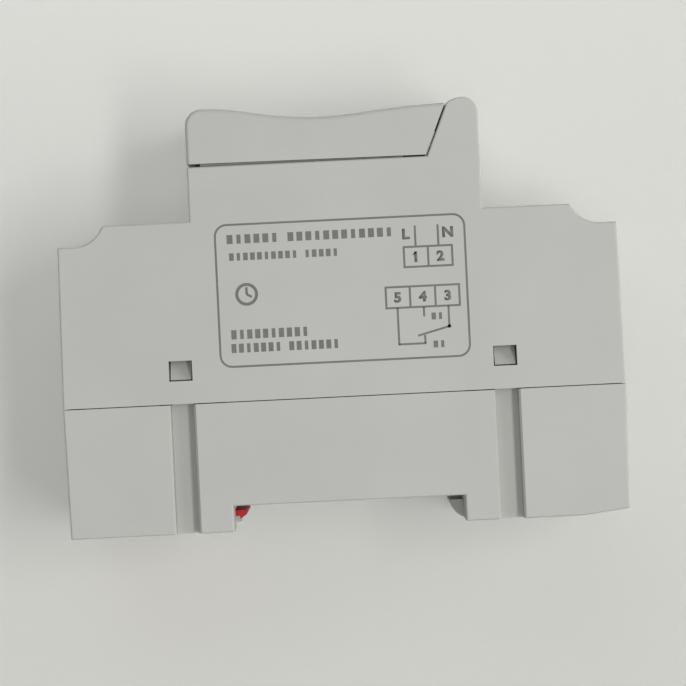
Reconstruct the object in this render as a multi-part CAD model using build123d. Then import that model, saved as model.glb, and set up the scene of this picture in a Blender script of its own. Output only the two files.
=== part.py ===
"""DIN rail timer, two modules wide: snap-together housing, hinged lid, display, keys, relay and screw terminals.

Frame: X runs along the housing from its clip end to its fixed-hook end, Y points away from the rail to the
front lid, and Z runs across the two modules. The origin is the middle of the rail seat. Millimetres.
"""
from build123d import *
import math
import os

# Housing, overall
length = 86.3            # end to end, at the seam
width = 36.0             # two modules of 18
rail_width = 35.0        # top-hat rail that the foot takes
rail_play = 0.6          # rail slot is this much wider than the rail
foot_depth = 4.0         # feet reach this far behind the rail seat
seam_y = 16.0            # parting line between base and front shell
shoulder_y = 43.8        # rail seat to the terminal shoulders
step_run = 4.5           # hollow step at each shoulder end, along X
step_rise = 3.05
step_flat = 2.5          # flat left at the very end
nose_length = 44.9       # raised middle part, fits a 45 mm panel cut-out
deck_rise = 8.35         # shoulders to the deck under the lid
lid_rise = 8.8           # deck to the highest point of the lid
wall = 1.8
edge_round = 0.3
end_draft = 0.3          # each shell narrows this much from the seam to its far edge
seam_gap = 0.15
toe_run = 6.7            # sloped toe at the fixed-hook end, for tilting onto the rail
toe_rise = 0.8

# Snap joints and the channels below them
snap_gap = 0.65          # raised part's end to each channel
channel_width = 3.6
channel_depth = 3.0
channel_edge = 0.3       # broken edge along the channel
window_low = 3.5         # seam to the window's lower edge
window_high = 6.6
arm_thick = 1.6
arm_play = 0.2
barb_out = 2.3

# Screw terminals
access_depth = 5.4       # shoulder to the screw's head
access_r = 2.5
head_r = 2.9
head_height = 2.2
head_play = 0.25
shank_r = 2.0
shank_length = 8.9
thread_play = 0.06       # radial, between shank and clamp nut
thread_pitch = 0.7
cage_length = 7.0
cage_inside = 8.4
cage_nut = 2.6
cage_wall = 1.1
cage_play = 0.45         # to the walls beside it
clamp_travel = 5.6
bar_thick = 1.2
bar_play = 0.2
divider = 1.4
entry_margin = 0.4       # wire entry is this much smaller than the clamp's inside
leg_gap = 4.05           # solder legs of the contact bars, in from the raised part's end
leg_width = 3.0
leg_thick = 1.0

# Rail clip
clip_width = 22.0
clip_play = 0.3
clip_lip = 2.2           # overhang of the rails that hold the clip
clip_lip_thick = 0.9
clip_flange = 1.7
clip_gap = 1.2           # rail seat to the clip's catch face
clip_reach = 1.7         # nose past the slot's edge
clip_neck = 0.8          # thickness of the nose where it leaves the foot
clip_lip_drop = 1.35     # catch face to the nose's lower lip
clip_lip_back = 0.55     # slot edge to the back of that lip
clip_step = 1.3          # slot edge to the clip's body under the neck
clip_travel = 3.0
clip_window_start = 7.2  # slot edge to the spring window
spring_length = 11.0
spring_r = 1.15          # to the wire's centre
spring_wire = 0.35
spring_turns = 8
spring_stop = 1.6        # post in the base that the spring pushes against
driver_slot = 1.8
hook_reach = 2.15
hook_width = 15.0

# Lid
lid_wall = 1.5
lid_gap_hinge = 0.23     # shadow gap under the lid, at the hinge end
lid_gap_free = 0.47      # and at the finger end
lid_clear = 0.25         # to the sloped face of the hinge block
slope_run = 3.26         # sloped end, over its height
slope_rise = 7.77
slope_foot_x = 14.13     # lid's lower corner at the hinge end
lid_dip = 2.0            # how far the top curves down in the middle
lid_end_drop = 0.75      # and at the hinge end
lid_corner_r = 2.5
lid_edge_round = 0.6
lug_width = 2.6
lug_play = 0.2
lug_z = 12.0
lug_r = 1.25
pin_r = 0.7
pin_play = 0.05
pin_out = 1.3
hinge_back = 2.95        # pin axis, in from the end face of the raised part
hinge_down = 1.65        # and below the highest point
window_wall = 0.6        # flange of the clear window, under the lid
window_overlap = 1.2
window_play = 0.05
grip_width = 12.0
grip_depth = 0.7

# Front panel, display and keys
deck_thick = 1.65
panel_thick = 1.6
panel_play = 0.45        # to the lid's inside
deck_rim = 1.3           # deck left around its opening
swing_clear = 0.3        # between the panel and the lid's swinging end wall
frame_height = 2.45
frame_wall = 1.1
glass_thick = 2.2
glass_length = 13.4
frame_side = 1.4         # panel's side edge to the frame
glass_side_gap = 2.4     # glass to the frame's outer side, along Z
lens_thick = 1.0
board_thick = 1.6
display_board_drop = 3.15   # panel's underside to the board
key_r = 2.1
key_high = 1.0
key_play = 0.15
key_flange = 0.5         # radial
key_flange_thick = 0.6
key_travel = 0.4
key_row_gap = 5.4
key_pitch = 7.5
long_key = 9.6
reset_r = 1.1
stem_r = 1.0
switch_size = 4.6
switch_height = 1.95
switch_well = 0.75
led_r = 1.5
post_r = 1.1
stake_r = 0.75

# Power board and what it carries
board_standoff = 8.6
board_edge_gap = 0.9
relay_size = (16.0, 20.5, 28.0)
relay_wall = 0.8
coil_r = 5.2
coil_height = 11.5
core_r = 2.4
armature_gap = 0.8
armature_travel = 2.4    # degrees
dropper_size = (7.0, 13.0, 16.0)
smoothing_r = 3.9
smoothing_height = 11.0
varistor_r = 3.6
varistor_thick = 3.2
battery_r = 8.0
battery_thick = 3.2

# Places worked out from the sizes above
half_length = length / 2
half_width = width / 2
inner_z = half_width - wall
slot_x = (rail_width + rail_play) / 2
nose_x = nose_length / 2
snap_x = nose_x + snap_gap
leg_x = nose_x - leg_gap
end_inner = half_length - end_draft - wall
step_y = shoulder_y - step_rise
deck_y = shoulder_y + deck_rise
top_y = deck_y + lid_rise
base_top = seam_y - seam_gap
floor_y = wall
arm_x = (snap_x + arm_play, snap_x + channel_width - arm_play)
arm_z = half_width - channel_depth
terminal_x = (snap_x + channel_width + end_inner) / 2
bay = (2 * inner_z - 2 * divider) / 3
pitch = bay + divider
cage_width = bay - 2 * cage_play
cage_clear = cage_width - 2 * cage_wall
head_top = shoulder_y - access_depth - head_play
head_low = head_top - head_height
bar_top = head_low - shank_length
cage_top = bar_top + bar_play + cage_nut
cage_low = bar_top + bar_play - cage_inside - cage_wall
entry_y = (cage_low + cage_wall + entry_margin, bar_top - bar_thick - entry_margin)
entry_half = cage_clear / 2 - entry_margin
pair_z = pitch * 2 / 3
terminals = {                      # number: (side along X, place along Z)
    1: (1, -pair_z),
    2: (1, pair_z),
    3: (-1, pitch),
    4: (-1, 0),
    5: (-1, -pitch),
}
hinge = (nose_x - hinge_back, top_y - hinge_down)
slope_cos = slope_rise / math.hypot(slope_run, slope_rise)
board_low = floor_y + board_standoff
board_y = board_low + board_thick
panel_top = deck_y + panel_thick
display_y = deck_y - display_board_drop     # upper face of the display board
stem_low = display_y + switch_height - 0.25
frame_top = panel_top + frame_height


# Simple shapes

def block(x, y, z):
    """Box between the low and high values given for each axis."""
    middle = Pos((x[0] + x[1]) / 2, (y[0] + y[1]) / 2, (z[0] + z[1]) / 2)
    return middle * Box(abs(x[1] - x[0]), abs(y[1] - y[0]), abs(z[1] - z[0]))


def post(x, z, y, radius):
    """Cylinder along Y."""
    return Pos(x, (y[0] + y[1]) / 2, z) * Rot(90, 0, 0) * Cylinder(radius, abs(y[1] - y[0]))


def rod(x, y, z, radius):
    """Cylinder along Z."""
    return Pos(x, y, (z[0] + z[1]) / 2) * Cylinder(radius, abs(z[1] - z[0]))


def pin_x(x, y, z, radius):
    """Cylinder along X."""
    return Pos((x[0] + x[1]) / 2, y, z) * Rot(0, 90, 0) * Cylinder(radius, abs(x[1] - x[0]))


def slab(edges, z):
    """Solid between two Z values from the closed outline that the edges make in the XY plane."""
    face = make_face(edges)
    return Pos(0, 0, z[0]) * extrude(face, amount=z[1] - z[0], dir=(0, 0, 1))


def polygon(points, z):
    """Solid between two Z values from corner points in the XY plane."""
    return slab(Polyline(*points, close=True).edges(), z)


def side(sign, x):
    """Low and high X on the clip side (sign -1) or the hook side (sign 1)."""
    return tuple(sorted((sign * x[0], sign * x[1])))


def both_sides(make):
    """The sum of what make builds for the clip side and the hook side."""
    return make(-1) + make(1)


def mirrored_z(shape):
    return shape + mirror(shape, about=Plane.XY)


def slope_x(y, inset=0.0):
    """X of the lid's sloped end at height y, moved in by inset square to the slope."""
    return slope_foot_x + (y - deck_y) * slope_run / slope_rise - inset / slope_cos


def lid_curve(drop=0.0):
    """Top line of the lid, lowered by drop, from its rounded corner to the hinge end."""
    high = top_y - drop
    left = -nose_x + lid_corner_r
    right = slope_x(top_y - lid_end_drop)
    middle = left + (right - left) * 0.52
    return Spline(
        (left, high),
        ((left + middle) / 2, high - 0.62 * lid_dip),
        (middle, high - lid_dip),
        ((middle + right) / 2 + 1.4, high - 0.55 * lid_dip),
        (right, high - lid_end_drop),
        tangents=((1, 0), (1, 0.04)),
    )


def outer_edges(shape, keep_y=None):
    """Edges on the two side faces and across the corners, but none lying at height keep_y."""
    found = []
    for edge in shape.edges():
        low, high = edge.bounding_box().min, edge.bounding_box().max
        flat = high.Z - low.Z < 1e-4 and abs(abs(low.Z) - half_width) < 1e-4
        if keep_y is not None and max(abs(low.Y - keep_y), abs(high.Y - keep_y)) < 1e-4:
            continue
        if flat:
            found.append(edge)
    return found


# Housing shells

def front_outline():
    """Side outline of the front shell: two stepped shoulders and a raised middle with the hinge block."""
    arc_r = (step_run ** 2 + step_rise ** 2) / (2 * step_rise)
    end = half_length - end_draft
    curve = end - step_flat
    sag = arc_r - math.sqrt(arc_r ** 2 - (step_run / 2) ** 2)
    face = slope_x(deck_y, -lid_clear), deck_y
    crest = hinge[0] + 0.6
    shoulder_round = nose_x - crest
    lip = slope_x(top_y - lid_end_drop, -lid_clear), top_y - lid_end_drop
    return [
        Line((half_length, seam_y), (-half_length, seam_y)),
        Line((-half_length, seam_y), (-end, step_y)),
        Line((-end, step_y), (-curve, step_y)),
        ThreePointArc((-curve, step_y), (-curve + step_run / 2, step_y + sag), (-curve + step_run, shoulder_y)),
        Line((-curve + step_run, shoulder_y), (-nose_x, shoulder_y)),
        Line((-nose_x, shoulder_y), (-nose_x, deck_y)),
        Line((-nose_x, deck_y), face),
        Line(face, lip),
        ThreePointArc(lip, ((lip[0] + crest) / 2 - 0.05, top_y - 0.2), (crest, top_y)),
        ThreePointArc(
            (crest, top_y),
            (crest + shoulder_round * math.sin(math.pi / 4), top_y - shoulder_round * (1 - math.cos(math.pi / 4))),
            (nose_x, top_y - shoulder_round),
        ),
        Line((nose_x, top_y - shoulder_round), (nose_x, shoulder_y)),
        Line((nose_x, shoulder_y), (curve - step_run, shoulder_y)),
        ThreePointArc((curve - step_run, shoulder_y), (curve - step_run / 2, step_y + sag), (curve, step_y)),
        Line((curve, step_y), (end, step_y)),
        Line((end, step_y), (half_length, seam_y)),
    ]


def entry_tunnels():
    """Space through the end walls for the wires, one for each terminal."""
    cuts = None
    for sign, z in terminals.values():
        x = side(sign, (end_inner - 1, half_length + 1))
        cut = block(x, entry_y, (z - entry_half, z + entry_half))
        cuts = cut if cuts is None else cuts + cut
    return cuts


def make_front_housing():
    whole = slab(front_outline(), (-half_width, half_width))
    whole = fillet(outer_edges(whole, seam_y), edge_round)
    shell = whole
    inside = nose_x - wall
    deep = seam_y - 1
    z = (-inner_z, inner_z)
    shell -= block((-inside, inside), (deep, deck_y - deck_thick), z)
    shell -= both_sides(lambda s: block(side(s, (nose_x, end_inner)), (deep, step_y - wall), z))
    shoulder_end = end_inner - step_flat - step_run
    shell -= both_sides(lambda s: block(side(s, (nose_x, shoulder_end)), (deep, shoulder_y - wall), z))
    # walls between the terminals
    wall_y = (seam_y, shoulder_y - wall)
    for divider_z in (-pitch / 2, pitch / 2):
        rib = block((-end_inner - 0.2, -nose_x + 0.2), wall_y, (divider_z - divider / 2, divider_z + divider / 2))
        shell += rib & whole
    shell += block((nose_x - 0.2, end_inner + 0.2), wall_y, (-divider / 2, divider / 2)) & whole
    # tubes that guide the screwdriver and hold the screws in
    for sign, place in terminals.values():
        tube = post(sign * terminal_x, place, (head_top + head_play, shoulder_y - wall / 2), access_r + 1.1)
        shell += tube & whole
    for sign, place in terminals.values():
        shell -= post(sign * terminal_x, place, (head_top, shoulder_y + 1), access_r)
        gap = cage_clear / 2
        slot = side(sign, (inside - 1, nose_x + 1))
        shell -= block(slot, (deep, bar_top + bar_play), (place - gap, place + gap))
    shell -= entry_tunnels()
    # windows for the snap barbs
    window_x = (snap_x, snap_x + channel_width)
    window_y = (seam_y + window_low, seam_y + window_high)
    through = (inner_z - 1, half_width + 1)
    shell -= mirrored_z(both_sides(lambda s: block(side(s, window_x), window_y, through)))
    # opening under the front panel
    opening = inner_z - deck_rim
    shell -= block((-inside + deck_rim, panel_right() - deck_rim / 2), (deck_y - 5, deck_y + 1), (-opening, opening))
    # hinge block: hollow in the middle, slotted for the lid's lugs
    hollow = (slope_x(deck_y, -lid_clear) + wall, nose_x - wall)
    shell -= block(hollow, (deck_y - deck_thick - 1, hinge[1] - lug_r - 1.6), (-lug_z + 4, lug_z - 4))
    return shell - lug_slots()


def panel_right():
    """Largest X of the panel that the lid's end wall clears as it swings up."""
    low = (slope_x(deck_y, lid_wall), deck_y)
    reach = math.dist(low, hinge) + swing_clear
    return hinge[0] - math.sqrt(reach ** 2 - (hinge[1] - panel_top) ** 2)


def frame_right():
    """Largest X of the raised display frame, by the same rule."""
    low = (slope_x(deck_y, lid_wall), deck_y)
    reach = math.dist(low, hinge) + swing_clear
    return hinge[0] - math.sqrt(reach ** 2 - (hinge[1] - frame_top) ** 2)


def lug_slots():
    """Slots and pin holes in the hinge block."""
    x, y = hinge
    room = lug_r + lug_play
    outline = [
        (x - 8, y - room),
        (x, y - room),
        (x + room, y),
        (x + room + 0.9, top_y + 1),
        (x - 8, top_y + 1),
    ]
    half = lug_width / 2 + lug_play
    slot = polygon(outline, (lug_z - half, lug_z + half)) + rod(x, y, (lug_z - half, lug_z + half), room)
    reach = half + pin_out
    holes = rod(x, y, (lug_z - reach, lug_z + reach), pin_r + pin_play)
    return mirrored_z(slot + holes)


def base_outline():
    """Side outline of the base: feet each side of the rail slot, and a sloped toe at the hook end."""
    low = -foot_depth
    end = half_length - end_draft
    return [
        (-half_length, base_top),
        (-end, low),
        (-slot_x, low),
        (-slot_x, 0),
        (slot_x, 0),
        (slot_x, low),
        (end - toe_run, low),
        (end, low + toe_rise),
        (half_length, base_top),
    ]


def make_base_housing():
    shell = polygon(base_outline(), (-half_width, half_width))
    shell = fillet(outer_edges(shell, base_top), edge_round)
    channel_x = (snap_x, snap_x + channel_width)
    z = (-inner_z, inner_z)
    # hollow inside, kept clear of the snap channels
    hollow = block((-end_inner, end_inner), (floor_y, seam_y), z)
    hollow += block((slot_x + wall, end_inner - 0.4), (wall - foot_depth, seam_y), z)
    around = (channel_x[0] - wall, channel_x[1] + wall)
    keep = (arm_z - arm_thick, half_width)
    hollow -= mirrored_z(both_sides(lambda s: block(side(s, around), (-foot_depth, seam_y), keep)))
    shell -= hollow
    shell -= mirrored_z(
        both_sides(lambda s: block(side(s, channel_x), (-foot_depth - 1, seam_y + 1), (arm_z, half_width + 1)))
    )
    shell -= mirrored_z(both_sides(lambda s: channel_bevel(side(s, channel_x))))
    shell += mirrored_z(both_sides(snap_arm))
    # inner rim that lines the two shells up
    rim_inner = inner_z - 0.9
    for rim_y, rim_outer in (((seam_y - 2, base_top), inner_z + 0.2), ((base_top - 0.1, seam_y + 1.2), inner_z - 0.1)):
        rims = block((-leg_x, leg_x), rim_y, (rim_inner, rim_outer))
        rims += both_sides(lambda s: block(side(s, (around[1], end_inner - 1)), rim_y, (rim_inner, rim_outer)))
        shell += mirrored_z(rims)
    # posts and locating pins for the power board
    for x in (-board_post_x(), board_post_x()):
        for place in (-board_post_z(), board_post_z()):
            shell += post(x, place, (floor_y - 0.5, board_low), 2.0)
            shell += post(x, place, (board_low - 1, board_y + 0.6), 0.9)
    shell -= clip_channel()
    shell += spring_post()
    return shell + fixed_hook()


def channel_bevel(x):
    """Broken edges along a snap channel, as a wedge that is cut from the side face."""
    low = half_width - channel_edge
    far = half_width + 1
    face = Plane.XZ * Polygon(
        (x[0] - channel_edge, half_width), (x[0], low), (x[1], low), (x[1] + channel_edge, half_width),
        (x[1] + channel_edge, far), (x[0] - channel_edge, far), align=None,
    )
    return Pos(0, -foot_depth - 1, 0) * extrude(face, amount=seam_y + foot_depth + 2, dir=(0, 1, 0))


def snap_arm(sign):
    """Springy arm with a barb that catches in the front shell's window."""
    low = seam_y + window_low + arm_play
    tip = seam_y + window_high
    arm = block(side(sign, arm_x), (base_top - 3, tip + 0.4), (arm_z - arm_thick, arm_z))
    middle = (arm_x[0] + arm_x[1]) / 2
    profile = Polyline((low, arm_z - 0.2), (low, arm_z + barb_out), (tip, arm_z + 0.3), (tip, arm_z - 0.2), close=True)
    face = make_face(profile.edges())
    # profile is drawn as (Y, Z) and pushed both ways along X
    plane = Plane(origin=(sign * middle, 0, 0), x_dir=(0, 1, 0), z_dir=(1, 0, 0))
    barb = extrude(plane * face, amount=(arm_x[1] - arm_x[0]) / 2, both=True)
    return arm + barb


def board_post_x():
    return leg_x - 3.6


def board_post_z():
    return inner_z - board_edge_gap - 2.0


def clip_channel():
    """Track for the rail clip, open to the back, to the rail slot and to the end face."""
    x = (-half_length - 1, -slot_x + 0.01)
    side_play = clip_width / 2 + clip_play
    ceiling = -clip_gap + clip_play
    lip = -foot_depth + clip_lip_thick
    track = block(x, (lip, ceiling), (-side_play, side_play))
    track += block(x, (-foot_depth - 1, lip), (-side_play + clip_lip, side_play - clip_lip))
    spring_x = (-slot_x - clip_window_start - spring_length - spring_stop, -slot_x - clip_window_start)
    spring_room = spring_r + spring_wire / 2 + 0.15
    track += block(spring_x, (ceiling - 1, spring_axis() + spring_room), (-spring_room, spring_room))
    return track


def spring_axis():
    """Height of the clip spring's axis."""
    return -clip_gap - clip_flange / 2 + 0.35


def spring_post():
    """Stop hanging from the base into the clip's window, which the spring pushes against."""
    right = -slot_x - clip_window_start - spring_length
    room = spring_r + spring_wire / 2
    return block((right - spring_stop, right), (-clip_gap - clip_flange - 0.5, floor_y - 0.5), (-room, room))


def fixed_hook():
    """Solid rounded lip that goes behind the rail's edge."""
    low = -foot_depth
    tip = slot_x - hook_reach
    catch = -clip_gap
    outer_mid = (tip + 0.36 * hook_reach, low + 0.36 * (catch - low))
    edges = [
        ThreePointArc((tip, catch), outer_mid, (slot_x, low)),
        Line((slot_x, low), (slot_x + 0.4, low)),
        Line((slot_x + 0.4, low), (slot_x + 0.4, catch)),
        Line((slot_x + 0.4, catch), (tip, catch)),
    ]
    return slab(edges, (-hook_width / 2, hook_width / 2))


# Rail clip

def make_din_clip():
    tail = -half_length + end_draft + 0.3
    top = -clip_gap
    split = top - clip_flange
    back = -foot_depth + 0.1
    half = clip_width / 2
    lower = half - clip_lip - clip_play
    root = -slot_x - clip_step
    clip = block((tail, root), (split, top), (-half, half))
    clip += block((tail, root), (back, split), (-lower, lower))
    tip = -slot_x + clip_reach
    lip = -slot_x + clip_lip_back
    nose = [
        Line((root - 2, top), (tip - 0.5, top)),
        ThreePointArc((tip - 0.5, top), (tip - 0.04, top - 0.28), (tip - 0.15, top - 0.75)),
        Line((tip - 0.15, top - 0.75), (lip, top - clip_lip_drop)),
        Line((lip, top - clip_lip_drop), (lip, top - clip_neck)),
        Line((lip, top - clip_neck), (root, top - clip_neck)),
        Line((root, top - clip_neck), (root, back)),
        Line((root, back), (root - 2, back)),
        Line((root - 2, back), (root - 2, top)),
    ]
    clip += slab(nose, (-lower, lower))
    window_right = -slot_x - clip_window_start
    window_left = window_right - spring_length - spring_stop - 0.2
    room = spring_r + spring_wire / 2 + 0.15
    clip -= block((window_left, window_right), (back - 1, top + 1), (-room, room))
    driver_right = window_left - 1.4
    clip -= block((driver_right - driver_slot, driver_right), (back - 1, top + 1), (-3.2, 3.2))
    return clip


def make_clip_spring():
    left = -slot_x - clip_window_start - spring_length
    run = spring_length - spring_wire
    coil = Helix(pitch=run / spring_turns, height=run, radius=spring_r)
    start = coil @ 0
    section = Plane(origin=start, z_dir=coil % 0) * Circle(spring_wire / 2)
    spring = sweep(section, path=coil, is_frenet=True)
    place = Pos(left + spring_wire / 2, spring_axis(), 0)
    return place * Rot(0, 90, 0) * spring


# Lid

def make_flip_lid():
    low_free = deck_y + lid_gap_free
    low_hinge = deck_y + lid_gap_hinge
    left = -nose_x
    corner = (left, top_y - lid_corner_r)
    curve = lid_curve()
    start, end = curve @ 0, curve @ 1
    turn = lid_corner_r * (1 - math.cos(math.pi / 4))
    foot = (slope_x(low_hinge), low_hinge)
    outline = [
        Line((left, low_free), corner),
        ThreePointArc(corner, (left + turn, top_y - turn), (start.X, start.Y)),
        curve,
        Line((end.X, end.Y), foot),
        Line(foot, (left, low_free)),
    ]
    lid = slab(outline, (-half_width, half_width))
    rounded = [
        edge for edge in outer_edges(lid) if edge.center().Y > deck_y + 1 and abs(edge.center().X) < nose_x - 0.01
        and abs(edge.center().X - (foot[0] + end.X) / 2) > 1
    ]
    lid = fillet(rounded, lid_edge_round)
    lid -= under_lid(lid_wall)
    # clear window opening, and a shallow dished grip across the free end
    x, z = lid_window_size()
    lid -= block(x, (top_y - 5, top_y + 1), (-z, z))
    lid -= Pos(left - 5.2 + grip_depth, deck_y - 0.2, 0) * Rot(0, 0, 0) * Cylinder(5.2, grip_width)
    return lid + hinge_lugs()


def under_lid(drop):
    """Space inside the lid, at the given distance in from its outer faces."""
    curve = lid_curve(drop)
    start, end = curve @ 0, curve @ 1
    low = deck_y - 3
    under = slab(
        [
            Line((-nose_x - 2, start.Y), (start.X, start.Y)),
            curve,
            Line((end.X, end.Y), (end.X + 4, end.Y)),
            Line((end.X + 4, end.Y), (end.X + 4, low)),
            Line((end.X + 4, low), (-nose_x - 2, low)),
            Line((-nose_x - 2, low), (-nose_x - 2, start.Y)),
        ],
        (-half_width + drop, half_width - drop),
    )
    sides = polygon(
        [
            (-nose_x + drop, low - 1),
            (-nose_x + drop, top_y + 1),
            (slope_x(top_y + 1, drop), top_y + 1),
            (slope_x(low - 1, drop), low - 1),
        ],
        (-half_width, half_width),
    )
    return under & sides


def lid_window_size():
    """X limits and half-width of the window in the lid, over the display."""
    x = glass_limits()
    return (x[0] + 1.2, x[1] - 1.2), glass_half() + 0.6


def hinge_lugs():
    """Two lugs with round pins that turn in the hinge block."""
    x, y = hinge
    z = (lug_z - lug_width / 2, lug_z + lug_width / 2)
    root = slope_x(y) - lid_wall
    arm = block((root, x), (y - lug_r, y + lug_r - 0.35), z) + rod(x, y, z, lug_r)
    reach = lug_width / 2 + pin_out
    pin = rod(x, y, (lug_z - reach, lug_z + reach), pin_r)
    return mirrored_z(arm + pin)


def make_lid_window():
    x, z = lid_window_size()
    pane = under_lid(0.0) - under_lid(lid_wall)
    pane &= block(
        (x[0] + window_play, x[1] - window_play),
        (deck_y, top_y + 1),
        (-z + window_play, z - window_play),
    )
    flange = under_lid(lid_wall) - under_lid(lid_wall + window_wall)
    flange &= block(
        (x[0] - window_overlap, x[1] + window_overlap),
        (deck_y + 2, top_y),
        (-z - window_overlap, z + window_overlap),
    )
    return pane + flange


# Front panel, display and keys

def panel_left():
    return -nose_x + lid_wall + panel_play


def glass_limits():
    """X limits of the display glass, centred in its frame."""
    right = frame_right() - frame_wall - 0.15
    return right - glass_length, right


def glass_half():
    """Half of the display glass along Z."""
    return half_width - lid_wall - panel_play - frame_side - glass_side_gap


def key_layout():
    """Name: (X, Z, half length along Z, radius, height above the panel)."""
    near = glass_limits()[0] - frame_wall - 0.15 - key_r - 0.5
    far = near - key_row_gap
    edge = 1.5 * key_pitch
    return {
        "key_program": (near, -edge, 0.0, key_r, key_high),
        "key_day": (near, -edge + key_pitch, 0.0, key_r, key_high),
        "key_hour": (near, edge - key_pitch, 0.0, key_r, key_high),
        "key_minute": (near, edge, 0.0, key_r, key_high),
        "key_manual": (far, -edge + long_key / 2 - key_r, long_key / 2 - key_r, key_r, key_high),
        "key_clock": (far, 0.6, 0.0, key_r, key_high),
        "key_reset": (far, 6.0, 0.0, reset_r, -0.35),
    }


def led_place():
    return key_layout()["key_manual"][0], 1.5 * key_pitch


def long_round(x, z, half, radius, y):
    """Round or long-round prism along Y, its long side along Z."""
    shape = post(x, z - half, y, radius)
    if half > 0:
        shape += post(x, z + half, y, radius) + block((x - radius, x + radius), y, (z - half, z + half))
    return shape


def panel_posts():
    opening_z = inner_z - deck_rim
    low_x = -nose_x + wall + deck_rim
    x = (low_x + post_r + 0.25, panel_right() - deck_rim / 2 - post_r - 0.25)
    return [(a, b) for a in x for b in (-opening_z + post_r + 0.25, opening_z - post_r - 0.25)]


def make_front_panel():
    half = half_width - lid_wall - panel_play
    panel = block((panel_left(), panel_right()), (deck_y, panel_top), (-half, half))
    panel = fillet([e for e in panel.edges() if abs(e.center().Y - panel_top) < 1e-4], 0.4)
    glass = glass_limits()
    frame_x = (glass[0] - frame_wall - 0.15, glass[1] + frame_wall + 0.15)
    frame_z = half - frame_side
    frame = block(frame_x, (panel_top - 0.5, frame_top), (-frame_z, frame_z))
    frame = fillet([e for e in frame.edges() if abs(e.center().Y - frame_top) < 1e-4], 0.5)
    panel += frame
    glass_z = glass_half() + 0.15
    panel -= block((glass[0] - 0.15, glass[1] + 0.15), (deck_y - 1, frame_top - lens_thick), (-glass_z, glass_z))
    view_x, view_z = lens_size()
    panel -= block(view_x, (deck_y, frame_top + 1), (-view_z, view_z))
    for x, z, stretch, radius, _ in key_layout().values():
        panel -= long_round(x, z, stretch, radius + key_play, (deck_y - 1, panel_top + 1))
    x, z = led_place()
    panel -= post(x, z, (deck_y - 1, panel_top + 1), led_r + 0.05)
    for x, z in panel_posts():
        panel += post(x, z, (display_y, deck_y + 0.5), post_r)
        panel += post(x, z, (display_y - board_thick - 0.4, display_y + 0.5), stake_r)
    return panel


def lens_size():
    """X limits and half-width of the hole that the display is read through."""
    glass = glass_limits()
    return (glass[0] + 1.3, glass[1] - 1.3), glass_half() - 1.2


def make_display_lens():
    x, z = lens_size()
    lens = block((x[0] + 0.05, x[1] - 0.05), (frame_top - lens_thick, frame_top), (-z + 0.05, z - 0.05))
    skirt = 0.7
    lens += block((x[0] - skirt, x[1] + skirt), (frame_top - lens_thick - 0.5, frame_top - lens_thick), (-z - skirt, z + skirt))
    return lens


def glass_top():
    return frame_top - lens_thick - 0.55


def make_lcd_cell():
    """Two glass plates, the front one shorter, so that the contacts along two edges are bare."""
    x = glass_limits()
    z = glass_half()
    half = glass_thick / 2
    rear = block(x, (glass_top() - glass_thick, glass_top() - half), (-z, z))
    return rear + block((x[0] + 1.6, x[1] - 1.6), (glass_top() - half, glass_top()), (-z, z))


def make_lcd_diffuser():
    x = glass_limits()
    z = glass_half() - 1.0
    return block((x[0] + 2.4, x[1] - 2.4), (display_y, glass_top() - glass_thick), (-z, z))


def make_zebra_strips():
    x = glass_limits()
    z = glass_half() - 1.5
    y = (display_y, glass_top() - glass_thick)
    strips = block((x[0] + 0.3, x[0] + 1.7), y, (-z, z))
    return strips + block((x[1] - 1.7, x[1] - 0.3), y, (-z, z))


def make_display_board():
    right = panel_right() - deck_rim / 2 - 0.2
    left = -nose_x + wall + 0.5
    half = inner_z - 0.5
    y = (display_y - board_thick, display_y)
    board = block((left, right), y, (-half, half))
    for x, z in panel_posts():
        board -= post(x, z, (y[0] - 1, y[1] + 1), stake_r + 0.1)
    for z in link_places():
        board -= block((-leg_x - 0.4, -leg_x + 0.4), (y[0] - 1, y[1] + 1), (z - 0.4, z + 0.4))
    return board


def make_key(name):
    x, z, stretch, radius, high = key_layout()[name]
    low = deck_y - 0.05
    key = long_round(x, z, stretch, radius, (low - 0.2, panel_top + high))
    key = fillet([e for e in key.edges() if abs(e.center().Y - (panel_top + high)) < 1e-4], 0.35)
    key += long_round(x, z, stretch, radius + key_flange, (low - key_flange_thick, low))
    return key + post(x, z, (stem_low, low), stem_r)


def make_key_switches():
    """Low switches on the display board, each with a well that a key's stem dips into."""
    half = switch_size / 2
    top = display_y + switch_height
    bodies = []
    for x, z, *_ in key_layout().values():
        body = block((x - half, x + half), (display_y, top), (z - half, z + half))
        bodies.append(body - post(x, z, (top - switch_well, top + 1), stem_r + 0.15))
    return Compound(children=bodies)


def make_status_led():
    x, z = led_place()
    led = post(x, z, (display_y + 0.6, panel_top - 0.2), led_r)
    led += Pos(x, panel_top - 0.2, z) * Sphere(led_r)
    return led + post(x, z, (display_y, display_y + 0.8), led_r + 0.35)


def make_controller_chip():
    y = display_y - board_thick
    x = key_layout()["key_clock"][0] + 3.5
    return block((x - 5, x + 5), (y - 1.3, y), (-5, 5))


def make_quartz_crystal():
    y = display_y - board_thick - 1.0
    x = glass_limits()[1] - 2.0
    can = rod(x, y, (4.5, 10.5), 1.0)
    leads = rod(x - 0.45, y, (10.4, 12.2), 0.2) + rod(x + 0.45, y, (10.4, 12.2), 0.2)
    return can + leads


def battery_place():
    return glass_limits()[0] + battery_r - 0.5, -inner_z + battery_r + 1.4


def make_backup_battery():
    x, z = battery_place()
    high = display_y - board_thick - 0.6
    cell = post(x, z, (high - battery_thick, high), battery_r)
    return fillet(cell.edges(), 0.5)


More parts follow.
